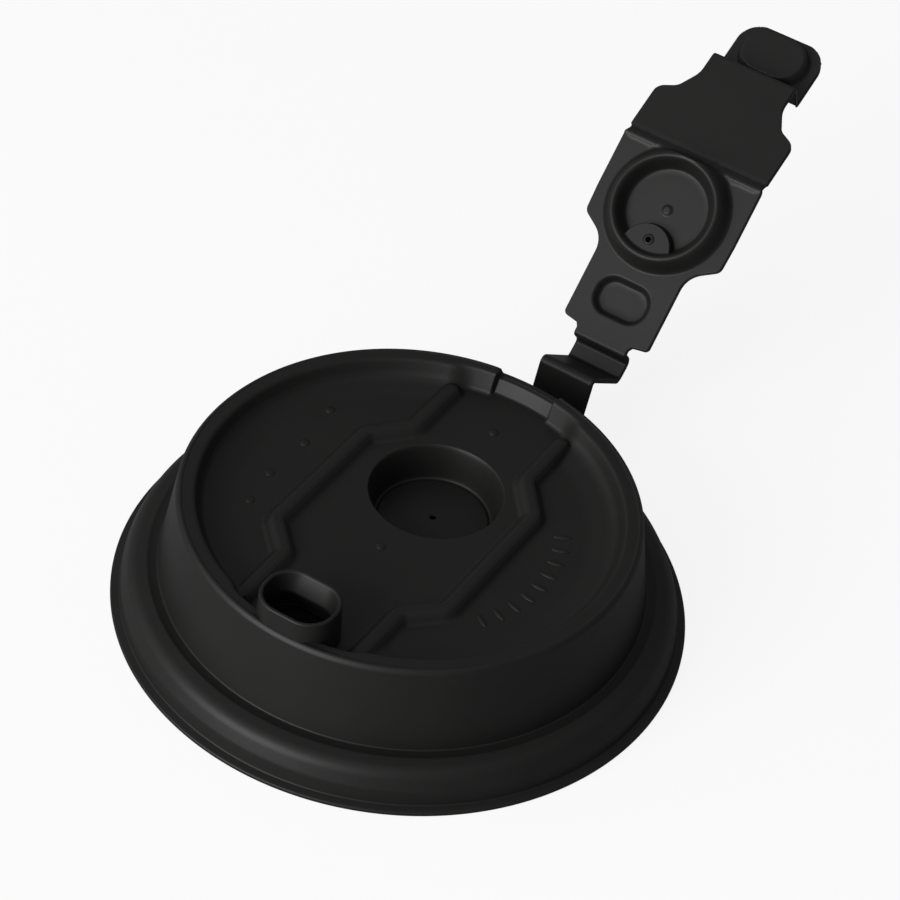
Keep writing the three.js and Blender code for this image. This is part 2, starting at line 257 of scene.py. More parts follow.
skirt_corners = [
    (rim_seam, rim_height, 0), (36.5, rim_height, 0.8), (36.98, 20.9, 1.0),
    (39.2, 6.75, 0.25), (40.3, 6.85, 0.4),
    (40.9, 6.95, 0.6), (43.6, 6.4, 2.6), (44.8, 3.4, 2.4), (45.1, 0.95, 0.25),
    (flange_radius, 0.7, 0.3), (flange_radius, 0.0, 0.2), (44.7, 0.0, 0.2),
    (44.5, 1.8, 0.3), (44.1, 2.9, 0.3), (43.95, 3.9, 0.3), (42.9, 6.3, 1.4), (38.6, 5.95, 0.5),
    (36.3, rim_height - wall, 0.3), (rim_seam, rim_height - wall, 0), (rim_seam, rim_height, 0),
]
skirt_line = rounded(skirt_corners)
skirt_carrier = bpy.data.meshes.new("skirt_profile")
skirt_points = [(across / 1000, 0, up / 1000) for across, up in skirt_line]
skirt_carrier.from_pydata(skirt_points, [(i, i + 1) for i in range(len(skirt_points) - 1)], [])
skirt_inputs = {"Corners": len(skirt_points), "Segments": skirt_turns, "Material": lid_plastic}
skirt = from_nodes("lid_skirt", skirt_carrier, turning_tree(), skirt_inputs)
for vertex in skirt.data.vertices:
    reach = math.hypot(vertex.co.x, vertex.co.y) * 1000
    beyond = max(0.0, min(1.0, (abs(vertex.co.x) * 1000 - notch_half + 0.3) / 0.5))
    inner = reach < 36.38 and vertex.co.z * 1000 < rim_height - 0.55
    limit = (notch_floor - (wall if inner else 0)) * (1 - beyond) + rim_height * beyond
    if vertex.co.y > 0:
        vertex.co.z = min(vertex.co.z, limit / 1000)
skirt.data.transform(Matrix.Translation((0, axis_y / 1000, 0)))
face_outward(skirt.data)
skirt.modifiers.new("even_shading", "WEIGHTED_NORMAL")
part_of_lid(skirt)


# Deck inside the rim: the flat pressed floor with its round well, two raised ribs and the notched rim.
# It is the same sheet as the skirt, pressed over the mould, so every edge of it is rounded.
deck_height = 17.9
well_y = 7.9
well_floor = 11.8
well_dome = 0.25
well_crease = 9.3
well_foot = 9.6
well_brim = 11.05
vent_radius = 0.6
spout_y = -31.3
spout_half_x = 6.37
spout_half_y = 5.02
spout_corner = 4.55
rib_height = 1.5
rib_end = 29.5
rib_narrow = 10.6
rib_wide = 16.0
rib_crest = 0.95
rib_slope = 1.35
rib_corners = [
    (rib_narrow, -37.5, 0), (rib_narrow, -19.4, 2.4), (rib_wide, -14.0, 2.4),
    (rib_wide, 11.6, 2.6), (rib_narrow, 18.2, 2.6), (rib_narrow, 37.5, 0),
]


def ramp(value, start, end, soft_start, soft_end):
    """Slope from 0 to 1 between two places, rounded at its foot and at its crest."""
    total = end - start
    length = total - (soft_start + soft_end) / 2
    way = np.clip(value, start, end) - start
    rise = np.where(way < soft_start, way * way / (2 * soft_start), way - soft_start / 2)
    over = np.clip(way - (total - soft_end), 0, None)
    return (rise - over * over / (2 * soft_end)) / length


def higher(first, second, round_off):
    """The higher of two surfaces, with the corner between them rounded."""
    near = np.clip(round_off - np.abs(first - second), 0, None) / round_off
    return np.maximum(first, second) + near * near * round_off / 4


def curve_height(across, corners, steps=6):
    line = np.array(rounded(corners, steps))
    return np.interp(across, line[:, 0], line[:, 1])


def off_line(points, line):
    """Distance of each point to a line of points, positive on its right."""
    line = np.asarray(line, float)
    best = np.full(len(points), 1e9)
    side = np.zeros(len(points))
    for start, end in zip(line[:-1], line[1:]):
        run = end - start
        size = run @ run
        if size < 1e-12:
            continue
        part = np.clip(((points - start) @ run) / size, 0, 1)
        gap = points - start - part[:, None] * run
        far = np.hypot(gap[:, 0], gap[:, 1])
        closer = far < best - 1e-9
        cross = gap[:, 0] * run[1] - gap[:, 1] * run[0]
        side = np.where(closer, np.sign(cross), side)
        best = np.where(closer, far, best)
    return best * np.where(side == 0, 1, side)


def box_gap(points, middle, half_x, half_y, corner):
    """Distance outside a rounded box, negative inside it."""
    gap = np.abs(points - np.array(middle)) - np.array([half_x - corner, half_y - corner])
    outside = np.hypot(np.clip(gap[:, 0], 0, None), np.clip(gap[:, 1], 0, None))
    return outside + np.minimum(np.maximum(gap[:, 0], gap[:, 1]), 0) - corner


def even(line, spacing):
    """Points along a line, each run of it divided evenly."""
    result = [line[0]]
    for start, end in zip(line[:-1], line[1:]):
        count = max(1, int(math.ceil(np.hypot(*(end - start)) / spacing)))
        for step in range(1, count + 1):
            result.append(start + (end - start) * step / count)
    return np.array(result)


divide_line = rounded(rib_corners, 10)
rib_line = [p for p in even(np.array(divide_line), 0.5) if -31.3 < p[1] < rib_end]
track_wall = [(0, deck_height, 0), (33.3, deck_height, 0.7), (34.75, 21.5, 0.6), (37, 21.5, 0)]
lune_wall = [(0, deck_height, 0), (28.6, deck_height, 9), (32.7, 18.7, 2.4), (34.0, 21.5, 0.8), (37, 21.5, 0)]
notch_wall = [(0, deck_height, 0), (34.2, deck_height, 0.6), (35.4, notch_floor, 0.4), (37, notch_floor, 0)]


def deck_surface(points):
    radius = np.hypot(points[:, 0], points[:, 1])
    mirrored = np.column_stack([np.abs(points[:, 0]), points[:, 1]])
    divide = off_line(mirrored, divide_line)
    spread = 0.45 + 1.6 * np.clip((radius - 31) / 2, 0, 1)
    outer = ramp(divide / spread, -1, 1, 0.9, 0.9)
    base = curve_height(radius, track_wall) * (1 - outer) + curve_height(radius, lune_wall) * outer
    notch = (1 - ramp(mirrored[:, 0], notch_half - 0.6, notch_half - 0.05, 0.2, 0.2)) * (points[:, 1] > 0)
    base = base * (1 - notch) + curve_height(radius, notch_wall) * notch
    beside = np.abs(off_line(mirrored, rib_line))
    flank = deck_height + rib_height - rib_slope * np.clip(beside - rib_crest, 0, None)
    flank = flank - 0.13 * (1 - ramp(np.abs(beside - rib_crest), 0, 0.6, 0.3, 0.3))
    base = higher(base, np.maximum(flank, deck_height - 1.5), 0.5)
    reach = np.hypot(points[:, 0], points[:, 1] - well_y)
    drop = ramp(reach, well_foot, well_brim, 0.35, 0.95)
    dome = well_dome * (1 - (np.clip(reach, 0, 9) / 9) ** 2)
    crease = well_dome * (1 - ramp(np.abs(reach - well_crease), 0.1, 0.5, 0.2, 0.2))
    floor = well_floor + dome - crease
    height = np.where(reach < 11.3, floor + (base - floor) * drop, base)
    return np.column_stack([points, height])


def ring(radius, count, x=0.0, y=0.0, turn=0.0):
    angle = (np.arange(count) + turn) / count * 2 * math.pi
    return np.column_stack([x + radius * np.cos(angle), y + radius * np.sin(angle)])


def box_ring(middle, half_x, half_y, corner, steps, straight=8):
    """Points round a rounded box, the same number of them whatever its size."""
    points = []
    for number in range(4):
        sign_x = (1, -1, -1, 1)[number]
        sign_y = (1, 1, -1, -1)[number]
        for step in range(steps + 1):
            angle = (number + step / steps) * math.pi / 2
            points.append((middle[0] + sign_x * (half_x - corner) + corner * math.cos(angle),
                           middle[1] + sign_y * (half_y - corner) + corner * math.sin(angle)))
        if number in (0, 2):
            run = -2 * sign_x * (half_x - corner)
            last = points[-1]
            points += [(last[0] + run * part / straight, last[1]) for part in range(1, straight)]
    return np.array(points)


def thinned(points, kept, gap):
    """Points of a set that stay at least a gap away from the kept points."""
    cell = gap
    table = {}
    for x, y in kept:
        table.setdefault((int(x // cell), int(y // cell)), []).append((x, y))
    result = []
    for x, y in points:
        column = int(x // cell)
        row = int(y // cell)
        close = False
        for i in (column - 1, column, column + 1):
            for j in (row - 1, row, row + 1):
                for other in table.get((i, j), ()):
                    if (other[0] - x) ** 2 + (other[1] - y) ** 2 < gap * gap:
                        close = True
        if not close:
            result.append((x, y))
    return np.array(result).reshape(-1, 2)


def pressed_sheet(name, points, edges, keep, surface, thickness):
    """Closed thin sheet over flat points, shaped by a surface rule and smooth by its slope."""
    made = delaunay_2d_cdt([Vector(p) for p in points], edges, [], 0, 1e-7)
    flat = np.array([(p.x, p.y) for p in made[0]])
    faces = np.array([list(face) for face in made[2]], dtype=np.int64)
    middles = flat[faces].mean(axis=1)
    faces = faces[keep(middles)]
    used, packed = np.unique(faces, return_inverse=True)
    faces = packed.reshape(faces.shape)
    flat = flat[used]
    first = flat[faces[:, 1]] - flat[faces[:, 0]]
    second = flat[faces[:, 2]] - flat[faces[:, 0]]
    turned = first[:, 0] * second[:, 1] - first[:, 1] * second[:, 0] < 0
    faces[turned] = faces[turned][:, ::-1]
    step = 0.004
    top = surface(flat)
    slope_x = surface(flat + [step, 0]) - surface(flat - [step, 0])
    slope_y = surface(flat + [0, step]) - surface(flat - [0, step])
    normals = np.cross(slope_x, slope_y)
    normals /= np.linalg.norm(normals, axis=1)[:, None]
    under = thickness(flat, top, normals)
    count = len(flat)
    seen = {}
    for face in faces:
        for start, end in ((face[0], face[1]), (face[1], face[2]), (face[2], face[0])):
            if (end, start) in seen:
                del seen[(end, start)]
            else:
                seen[(start, end)] = True
    sides = [(end, start, start + count, end + count) for start, end in seen]
    everything = [tuple(f) for f in faces] + [tuple(f[::-1] + count) for f in faces] + sides
    places = np.vstack([top, under]) / 1000
    places[:, 1] += axis_y / 1000
    mesh = bpy.data.meshes.new(name)
    mesh.from_pydata(places.tolist(), [], everything)
    mesh.shade_smooth()
    mesh.normals_split_custom_set_from_vertices(np.vstack([normals, -normals]).tolist())
    mesh.materials.append(lid_plastic)
    piece = bpy.data.objects.new(name, mesh)
    bpy.context.scene.collection.objects.link(piece)
    return piece


def offset_rows(line, offsets, spacing):
    """Rows of points beside a line, at each offset from it."""
    line = np.array(line)
    runs = np.hypot(*np.diff(line, axis=0).T)
    length = np.concatenate([[0], np.cumsum(runs)])
    count = int(length[-1] / spacing)
    at = np.linspace(0, length[-1], count)
    middle = np.column_stack([np.interp(at, length, line[:, 0]), np.interp(at, length, line[:, 1])])
    ahead = np.gradient(middle, axis=0)
    ahead /= np.linalg.norm(ahead, axis=1)[:, None]
    side = np.column_stack([ahead[:, 1], -ahead[:, 0]])
    rows = []
    for offset in offsets:
        row = middle + side * offset
        true = np.abs(np.abs(off_line(row, line)) - abs(offset)) < 0.02
        rows.append(row[true])
    return np.vstack(rows)


rim_rings = [35.95, 35.5, 35.3, 35.15, 35.05, 34.95, 34.85, 34.76, 34.67, 34.58, 34.48, 34.38,
             34.26, 34.14, 34.02, 33.92, 33.82, 33.72, 33.62, 33.52, 33.4, 33.28,
             33.14, 33.0, 32.8, 32.5, 32.1, 31.6, 31.0, 30.2, 29.3, 28.4, 27.5]
rim_count = 420
rim_points = np.vstack([ring(radius, rim_count) for radius in rim_rings])
spout_overlap = 0.3
spout_hole = (spout_half_x - spout_overlap, spout_half_y - spout_overlap, spout_corner - spout_overlap)
spout_cut = box_ring((0, spout_y), *spout_hole, 16)
rib_offsets = [0.15, 0.35, 0.5, 0.65, 0.8, 0.95, 1.1, 1.25, 1.4, 1.55, 1.7, 1.85, 2.0, 2.15, 2.35, 2.6]
right_rows = offset_rows(divide_line, [-o for o in rib_offsets[::-1]] + rib_offsets, 0.4)
right_rows = right_rows[np.hypot(right_rows[:, 0], right_rows[:, 1]) < 32.9]
left_rows = right_rows * [-1, 1]
well_rings = [vent_radius, 0.9, 1.6, 3, 5, 7, 8.3, 8.8, 8.95, 9.1, 9.3, 9.5, 9.62, 9.74, 9.85, 9.96,
              10.08, 10.2, 10.32, 10.44, 10.56, 10.68, 10.8, 10.9, 11.0, 11.1, 11.22, 11.4]
well_points = np.vstack([ring(radius, 40 if radius < 2 else 200, 0, well_y) for radius in well_rings])
notch_lines = []
for side in (-1, 1):
    for across in (4.7, 4.85, 4.95, 5.05, 5.15, 5.25, 5.35, 5.45, 5.55, 5.65, 5.75, 5.9):
        notch_lines.append([(side * across, y) for y in np.linspace(32.4, 35.4, 28)])
for radius in (35.1, 35.2, 35.3, 35.4, 35.5, 35.6, 35.75):
    notch_lines.append(ring(radius, 700)[148:203])
notch_points = np.vstack(notch_lines)
exact = np.vstack([spout_cut, well_points, right_rows, left_rows, notch_points])
rim_kept = thinned(rim_points[np.hypot(rim_points[:, 0], rim_points[:, 1]) < 35.9], exact, 0.07)
edge_ring = ring(rim_rings[0], rim_count)
field = [(x * 0.9 + (row % 2) * 0.45, row * 0.78) for x in range(-40, 41) for row in range(-46, 47)]
field = np.array([p for p in field if math.hypot(p[0], p[1]) < 34])
field = thinned(field, np.vstack([exact, rim_kept]), 0.6)
deck_points = np.vstack([spout_cut, edge_ring, exact[len(spout_cut):], rim_kept, field])
loop = len(spout_cut)
deck_edges = [(i, (i + 1) % loop) for i in range(loop)]
deck_edges += [(loop + i, loop + (i + 1) % rim_count) for i in range(rim_count)]


def deck_keep(middles):
    outside_spout = box_gap(middles, (0, spout_y), *spout_hole) > -0.002
    outside_vent = np.hypot(middles[:, 0], middles[:, 1] - well_y) > vent_radius * 0.99
    within = np.hypot(middles[:, 0], middles[:, 1]) < rim_seam
    return outside_spout & outside_vent & within


deck = pressed_sheet("lid_deck", deck_points, deck_edges, deck_keep, deck_surface,
                     lambda flat, top, normals: top - [0, 0, wall])
part_of_lid(deck)


# Marks on the deck: nine low ticks on one side, and a few round pips on the other and in the middle.
# They are plain embossed dashes and dots, raised a little from the sheet by the same mould.
tick_radius = 24.4
tick_first = -30
tick_turn = 7.2
pip_places = [(-22.1, -12.3), (-23.2, -5.2), (-22.8, 4.1), (-24.0, 13.2), (0, -8.2), (0, 25.4)]


def marks_tree():
    """Nodes that lay low rounded ticks along an arc, and round pips on the carrier's points."""
    tree = bpy.data.node_groups.new("deck_marks", "GeometryNodeTree")
    for name, kind, way in (("Pips", "Geometry", "INPUT"), ("Ticks", "Int", "INPUT"),
                            ("Radius", "Float", "INPUT"), ("First Angle", "Float", "INPUT"),
                            ("Angle Step", "Float", "INPUT"),
                            ("Tick Size", "Vector", "INPUT"), ("Pip Size", "Vector", "INPUT"),
                            ("Level", "Float", "INPUT"), ("Material", "Material", "INPUT"),
                            ("Marks", "Geometry", "OUTPUT")):
        tree.interface.new_socket(name, in_out=way, socket_type="NodeSocket" + kind)
    given = tree.nodes.new("NodeGroupInput")
    result = tree.nodes.new("NodeGroupOutput")
    node = node_maker(tree)
    index = node("GeometryNodeInputIndex")
    stepped = node("ShaderNodeMath", {"operation": "MULTIPLY"},
                   {0: index.outputs[0], 1: given.outputs["Angle Step"]})
    angle = node("ShaderNodeMath", {"operation": "ADD"},
                 {0: stepped.outputs[0], 1: given.outputs["First Angle"]})
    outward = node("ShaderNodeCombineXYZ", None, {"X": given.outputs["Radius"], "Z": given.outputs["Level"]})
    spun = node("ShaderNodeVectorRotate", {"rotation_type": "Z_AXIS"},
                {"Vector": outward.outputs[0], "Angle": angle.outputs[0]})
    row = node("GeometryNodePoints", None, {"Count": given.outputs["Ticks"], "Position": spun.outputs[0]})
    facing = node("ShaderNodeCombineXYZ", None, {"Z": angle.outputs[0]})
    bead = node("GeometryNodeMeshUVSphere", None, {"Segments": 24, "Rings": 12, "Radius": 1.0})
    ticks = node("GeometryNodeInstanceOnPoints", None,
                 {"Points": row.outputs[0], "Instance": bead.outputs[0], "Rotation": facing.outputs[0],
                  "Scale": given.outputs["Tick Size"]})
    pips = node("GeometryNodeInstanceOnPoints", None,
                {"Points": given.outputs["Pips"], "Instance": bead.outputs[0],
                 "Scale": given.outputs["Pip Size"]})
    both = node("GeometryNodeJoinGeometry")
    tree.links.new(ticks.outputs[0], both.inputs[0])
    tree.links.new(pips.outputs[0], both.inputs[0])
    whole = node("GeometryNodeRealizeInstances", None, {"Geometry": both.outputs[0]})
    coloured = node("GeometryNodeSetMaterial", None,
                    {"Geometry": whole.outputs[0], "Material": given.outputs["Material"]})
    tree.links.new(coloured.outputs[0], result.inputs["Marks"])
    return tree


marks_carrier = bpy.data.meshes.new("pip_points")
marks_carrier.from_pydata([(x / 1000, y / 1000, deck_height / 1000) for x, y in pip_places], [], [])
marks = from_nodes("lid_marks", marks_carrier, marks_tree(), {
    "Ticks": 9, "Radius": tick_radius / 1000, "First Angle": math.radians(tick_first),
    "Angle Step": math.radians(tick_turn), "Tick Size": (0.0015, 0.00045, 0.0002),
    "Pip Size": (0.0008, 0.0008, 0.00022), "Level": deck_height / 1000, "Material": lid_plastic,
})
marks.data.transform(Matrix.Translation((0, axis_y / 1000, 0)))
face_outward(marks.data)
part_of_lid(marks)


# Drinking spout: a rounded tube that stands through the rim at the front and is open to the cup.
# Its lip is rolled over, and a small step inside leads to the straight bore.
spout_top = 25.1


def looped(name, rings, closed=False):
    """Wall through several rings of points, each given in millimetres."""
    count = len(rings[0])
    points = np.vstack(rings) / 1000
    points[:, 1] += axis_y / 1000
    faces = []
    total = len(rings)
    for number in range(total if closed else total - 1):
        upper = number * count
        lower = ((number + 1) % total) * count
        for step in range(count):
            after = (step + 1) % count
            faces.append((upper + step, upper + after, lower + after, lower + step))
    mesh = bpy.data.meshes.new(name)
    mesh.from_pydata(points.tolist(), [], faces)
    face_outward(mesh)
    mesh.materials.append(lid_plastic)
    piece = bpy.data.objects.new(name, mesh)
    bpy.context.scene.collection.objects.link(piece)
    return piece


spout_profile = rounded([
    (0.3, 16.9, 0), (0.25, 18.0, 0.3), (0.0, spout_top, 0.32), (-0.65, spout_top, 0.28),
    (-0.85, spout_top - 3.0, 0.15), (-0.85, spout_top - 3.5, 0.1),
    (-0.3, spout_top - 3.8, 0.1), (-0.2, 16.9, 0.1), (0.3, 16.9, 0),
], 6)
spout_rings = []
for outward, up in spout_profile[:-1]:
    funnel = min(1.0, max(0.0, (spout_top - up) / 3.0)) if outward < -0.6 else 0.0
    half_y = spout_half_y + outward - 0.9 * funnel
    corner = min(spout_corner + outward, half_y - 0.1)
    outline = box_ring((0, spout_y - 0.35 * funnel), spout_half_x + outward, half_y, corner, 20)
    spout_rings.append(np.column_stack([outline, np.full(len(outline), up)]))
spout = looped("lid_spout", spout_rings, closed=True)
spout.modifiers.new("even_shading", "WEIGHTED_NORMAL")
part_of_lid(spout)


# Strap, folded open behind the lid: a narrow neck from the flange, then a wide panel and its tip.
# It is pressed from the same sheet: a ring plug, a step with a blind pin hole, a dimple and a stopper.
neck_half = 5.1
panel_half = 13.55
waist_half = 8.4
tail_half = 8.2
panel_y = 61.5
panel_z = 13.475
panel_slope = math.radians(43.284)
tip_y = 88.1
tip_z = 37.587
tip_slope = math.radians(22.85)
panel_length = 34.8
tip_length = 19.7
cap_drop = 5.3
cap_end = 31.75
plug_centre = 24.9
plug_height = 3.0
plug_crest = 9.15
step_along = 17.2
step_height = 1.9
pin_along = 18.8
pin_depth = 1.7
dimple_along = 7.6
dimple_box = (5.1, 3.5, 3.2)
dimple_depth = 1.3
stopper_along = 25.9
stopper_box = (5.9, 4.4, 4.3)
stopper_height = 2.0
edge_round = 0.28


def on_panel(along, off=0.0):
    return (panel_y + along * math.cos(panel_slope) - off * math.sin(panel_slope),
            panel_z + along * math.sin(panel_slope) + off * math.cos(panel_slope))


def on_tip(along, off=0.0):
    return (tip_y + along * math.cos(tip_slope) - off * math.sin(tip_slope),
            tip_z + along * math.sin(tip_slope) + off * math.cos(tip_slope))


strap_corners = [
    (45.3, 0.4, 0), (49.7, 15.35, 0.9), (60.1, 8.0, 0.9), (62.9, 10.3, 1.0),
    (*on_panel(-0.85), 0.45), (*on_panel(0.9, 0.0), 0.5),
    (*on_panel(panel_length + 0.1), 0.4), (*on_panel(panel_length + 0.95, -0.75), 0.42),
    (*on_tip(0.75, 0.0), 0.4), (*on_tip(tip_length), 0.6), (*on_tip(tip_length, -cap_drop), 0.6),
    (*on_tip(cap_end, -cap_drop), 0),
]
strap_line = np.array(rounded(strap_corners, 8))
strap_runs = np.hypot(*np.diff(strap_line, axis=0).T)
strap_reach = np.concatenate([[0], np.cumsum(strap_runs)])


def reach_of(place):
    """Length along the strap's side line nearest to a place in side view."""
    gaps = strap_line[1:] - strap_line[:-1]
    part = np.clip(((np.array(place) - strap_line[:-1]) * gaps).sum(1) / (gaps ** 2).sum(1), 0, 1)
    near = strap_line[:-1] + part[:, None] * gaps
    far = np.hypot(*(near - np.array(place)).T)
    best = int(np.argmin(far))
    return float(strap_reach[best] + part[best] * strap_runs[best])


panel_zero = reach_of(on_panel(10)) - 10
tip_zero = reach_of(on_tip(10)) - 10
cap_zero = reach_of(on_tip(25, -cap_drop)) - 25
fine = np.linspace(0, strap_reach[-1], 6000)
fine_y = np.interp(fine, strap_reach, strap_line[:, 0])
fine_z = np.interp(fine, strap_reach, strap_line[:, 1])
ahead_y = np.gradient(fine_y, fine)
ahead_z = np.gradient(fine_z, fine)
soft = np.ones(9) / 9
ahead_y = np.convolve(np.pad(ahead_y, 4, mode="edge"), soft, "valid")
ahead_z = np.convolve(np.pad(ahead_z, 4, mode="edge"), soft, "valid")
ahead_size = np.hypot(ahead_y, ahead_z)
ahead_y /= ahead_size
ahead_z /= ahead_size

half_outline = [(neck_half, 0.0), (neck_half, panel_zero + 0.3)]
for corner in rounded([
    (neck_half, panel_zero + 0.2, 0), (neck_half + 0.4, panel_zero + 1.0, 0.5),
    (waist_half, panel_zero + 1.5, 0.9),
    (waist_half, panel_zero + 16.0, 4.5), (panel_half - 0.2, panel_zero + 19.1, 1.6),
    (panel_half, panel_zero + 24, 9), (panel_half, panel_zero + panel_length - 0.4, 0),
], 7)[1:]:
    half_outline.append(corner)
fold_half = panel_half - 0.35
half_outline += [(fold_half, tip_zero - 0.9), (fold_half, tip_zero - 0.1), (panel_half, tip_zero + 0.4)]
for corner in rounded([
    (panel_half, tip_zero + 0.5, 0), (panel_half, tip_zero + 9.2, 2.2), (10.3, tip_zero + 10.8, 2.5),
    (tail_half, tip_zero + 14.8, 5), (tail_half, cap_zero + 24.0, 9), (tail_half, cap_zero + cap_end, 4.8),
    (0.0, cap_zero + cap_end, 0),
], 9)[1:]:
    half_outline.append(corner)
half_outline = np.array(half_outline)


right_edge = even(half_outline, 0.45)
strap_edge = np.vstack([right_edge, (right_edge * [-1, 1])[::-1][1:]])


def strap_relief(points):
    across = points[:, 0]
    along = points[:, 1] - panel_zero
    off = np.hypot(across, along - plug_centre)
    outer = plug_height * (1 - ramp(off, plug_crest, 11.6, 1.0, 0.9))
    inner = plug_height * ramp(off, 6.9, plug_crest, 0.8, 0.9)
    button = np.where(off > plug_crest, outer, inner) * (1 - ramp(along, 34.1, 35.1, 0.4, 0.4))
    step = step_height * (1 - ramp(np.hypot(across, along - step_along), 4.3, 4.9, 0.3, 0.25))
    pip = 0.35 * (1 - ramp(off, 0.4, 1.2, 0.3, 0.3))
    from_pin = np.hypot(across, along - pin_along)
    collar = 0.25 * (1 - ramp(from_pin, 0.7, 1.1, 0.2, 0.2))
    pin = pin_depth * (1 - ramp(from_pin, 0.36, 0.56, 0.08, 0.08))
    raised = higher(button, step + collar * (step > 1.5), 0.3)
    level = 0.075 * (np.abs(button - step) < 0.001)
    height = np.where(off < plug_crest, np.maximum(raised - level, pip) - pin, button)
    height = height + 0.22 * (1 - ramp(np.abs(along - 34.5), 0.1, 0.55, 0.15, 0.2))
    dimple = box_gap(np.column_stack([across, along]), (0, dimple_along), *dimple_box)
    height = height - dimple_depth * (1 - ramp(dimple, -1.0, 0.35, 0.6, 0.6))
    cap = points[:, 1] - cap_zero
    stopper = box_gap(np.column_stack([across, cap]), (0, stopper_along), *stopper_box)
    height = height + stopper_height * (1 - ramp(stopper, -0.5, 0.95, 0.8, 0.6))
    edge = np.clip(1 - np.abs(off_line(points, strap_edge)) / edge_round, 0, 1)
    return height - edge_round * (1 - np.sqrt(np.clip(1 - edge * edge, 0, 1)))


def strap_lifted(points, lift):
    y = np.interp(points[:, 1], fine, fine_y)
    z = np.interp(points[:, 1], fine, fine_z)
    run_y = np.interp(points[:, 1], fine, ahead_y)
    run_z = np.interp(points[:, 1], fine, ahead_z)
    size = np.hypot(run_y, run_z)
    return np.column_stack([points[:, 0], y - run_z / size * lift, z + run_y / size * lift])


def strap_surface(points):
    return strap_lifted(points, strap_relief(points) + wall / 2)


def strap_under(flat, top, normals):
    return strap_lifted(flat, strap_relief(flat) - wall / 2)


edge_rows = []
for inset in (0.03, 0.08, 0.15, 0.22, 0.28, 0.4):
    ahead = np.gradient(strap_edge, axis=0)
    ahead /= np.linalg.norm(ahead, axis=1)[:, None]
    row = strap_edge + np.column_stack([-ahead[:, 1], ahead[:, 0]]) * inset
    true = np.abs(np.abs(off_line(row, strap_edge)) - inset) < 0.012
    edge_rows.append(row[true])
plug_y = panel_zero + plug_centre
plug_rings = [0.01, 0.4, 0.6, 0.8, 1.0, 1.2, 3.0, 5.0, 6.3, 7.0, 7.3, 7.42, 7.54, 7.66, 7.9, 8.2,
              8.5, 8.65, 8.8, 8.95, 9.1, 9.25, 9.4, 9.55, 9.7, 9.85, 10.1, 10.5, 10.8,
              10.95, 11.1, 11.25, 11.4, 11.6]
plug_points = np.vstack([ring(radius, 24 if radius < 1.5 else 180, 0, plug_y) for radius in plug_rings])
step_y = panel_zero + step_along
step_rings = (4.2, 4.3, 4.4, 4.5, 4.6, 4.7, 4.8, 4.9, 5.0)
step_points = np.vstack([ring(radius, 110, 0, step_y) for radius in step_rings])
step_points = step_points[np.hypot(step_points[:, 0], step_points[:, 1] - plug_y) < 9.0]
pin_y = panel_zero + pin_along
pin_rings = (0.02, 0.2, 0.34, 0.38, 0.43, 0.48, 0.53, 0.58, 0.66, 0.74, 0.84, 0.95, 1.1, 1.3)
pin_points = np.vstack([ring(radius, 28, 0, pin_y) for radius in pin_rings])


def grown_rings(y, box, steps, grows):
    """Rings round a rounded box, one for each amount that it grows by."""
    return np.vstack([box_ring((0, y), *[size + grow for size in box], steps) for grow in grows])


dimple_grows = (-0.95, -0.75, -0.65, -0.55, -0.45, -0.3, -0.15, 0.0, 0.12, 0.25, 0.4)
dimple_points = grown_rings(panel_zero + dimple_along, dimple_box, 14, dimple_grows)
stopper_grows = (-0.7, -0.5, -0.35, -0.2, -0.05, 0.1, 0.25, 0.4, 0.55, 0.7, 0.85, 0.95, 1.1)
stopper_points = grown_rings(cap_zero + stopper_along, stopper_box, 16, stopper_grows)
fold_rows = []
turning = np.abs(np.gradient(np.unwrap(np.arctan2(ahead_z, ahead_y)), fine))
at = 0.0
while at < strap_reach[-1]:
    bend = float(np.interp(at, fine, turning))
    half = float(np.interp(at, half_outline[:, 1], half_outline[:, 0]))
    if bend > 0.02:
        fold_rows.append(np.column_stack([np.linspace(-half + 0.45, half - 0.45, 24), np.full(24, at)]))
        at += 0.07
    else:
        at += 0.03
fold_points = np.vstack(fold_rows)
strap_exact = np.vstack(edge_rows + [pin_points, plug_points, step_points, dimple_points, stopper_points])
fold_kept = thinned(fold_points, np.vstack([strap_edge, strap_exact]), 0.1)
strap_spots = [(x * 0.8 + (row % 2) * 0.4, row * 0.7) for x in range(-18, 19) for row in range(150)]
strap_field = np.array(strap_spots)
strap_field = strap_field[strap_field[:, 1] < strap_reach[-1]]
strap_field = thinned(strap_field, np.vstack([strap_edge, strap_exact, fold_kept]), 0.5)


def in_outline(points):
    half = np.interp(points[:, 1], half_outline[:-1, 1], half_outline[:-1, 0])
    top = cap_zero + cap_end
    corner = np.clip(points[:, 1] - (top - 4.8), 0, 4.8)
    round_half = tail_half - 4.8 + np.sqrt(np.clip(4.8 ** 2 - corner ** 2, 0, None))
    half = np.where(points[:, 1] > top - 4.8, round_half, half)
    return (np.abs(points[:, 0]) < half + 0.002) & (points[:, 1] > -0.001) & (points[:, 1] < top + 0.001)


strap_field = strap_field[in_outline(strap_field)]
strap_points = np.vstack([strap_edge, strap_exact, fold_kept, strap_field])
strap_count = len(strap_edge)
strap_edges = [(i, (i + 1) % strap_count) for i in range(strap_count)]
strap = pressed_sheet("lid_strap", strap_points, strap_edges, in_outline, strap_surface, strap_under)
part_of_lid(strap)


